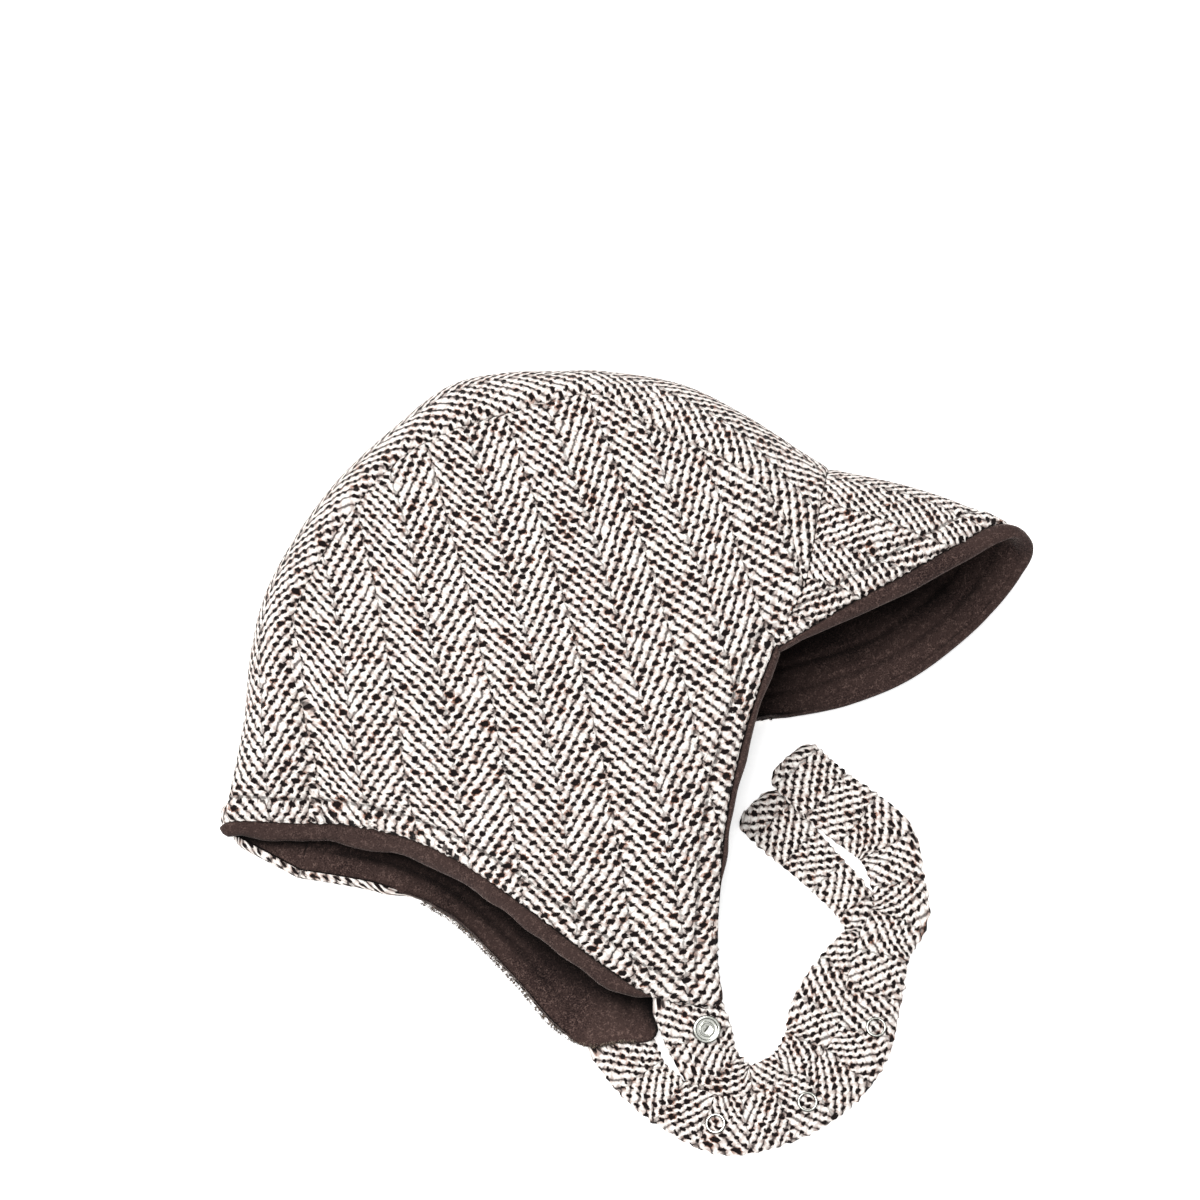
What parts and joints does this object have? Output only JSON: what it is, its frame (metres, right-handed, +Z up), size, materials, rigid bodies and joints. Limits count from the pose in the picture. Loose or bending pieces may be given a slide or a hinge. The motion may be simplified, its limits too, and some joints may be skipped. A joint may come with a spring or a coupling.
{
  "type": "aviator hat",
  "caption": "Reversible aviator hat with a tweed outside, a fleece lining, ear flaps, a folded peak and open chin straps, lying on its left side.",
  "frame": {"origin": "on the floor, under the middle of the hat's bounding box", "axes": "+X towards the peak, +Y towards the top of the crown, +Z up off the surface that the hat lies on"},
  "size_m": [0.3518, 0.3397, 0.0615],
  "materials": {
    "tweed": "herringbone tweed in cream and dark brown wool",
    "fleece": "dark brown fleece, matt and softly napped",
    "snap_metal": "bright nickel plate"
  },
  "bodies": {
    "root": {"crown_side_right": "tweed", "crown_side_left": "tweed", "crown_centre": "tweed", "lining_side_right": "fleece", "lining_side_left": "fleece", "lining_centre": "fleece", "peak_top": "tweed", "peak_underside": "fleece", "chin_strap_right": "tweed", "chin_strap_left": "tweed", "snap_socket": "snap_metal", "snap_ring_1": "snap_metal", "snap_ring_2": "snap_metal", "snap_ring_3": "snap_metal"}
  },
  "joints": []
}
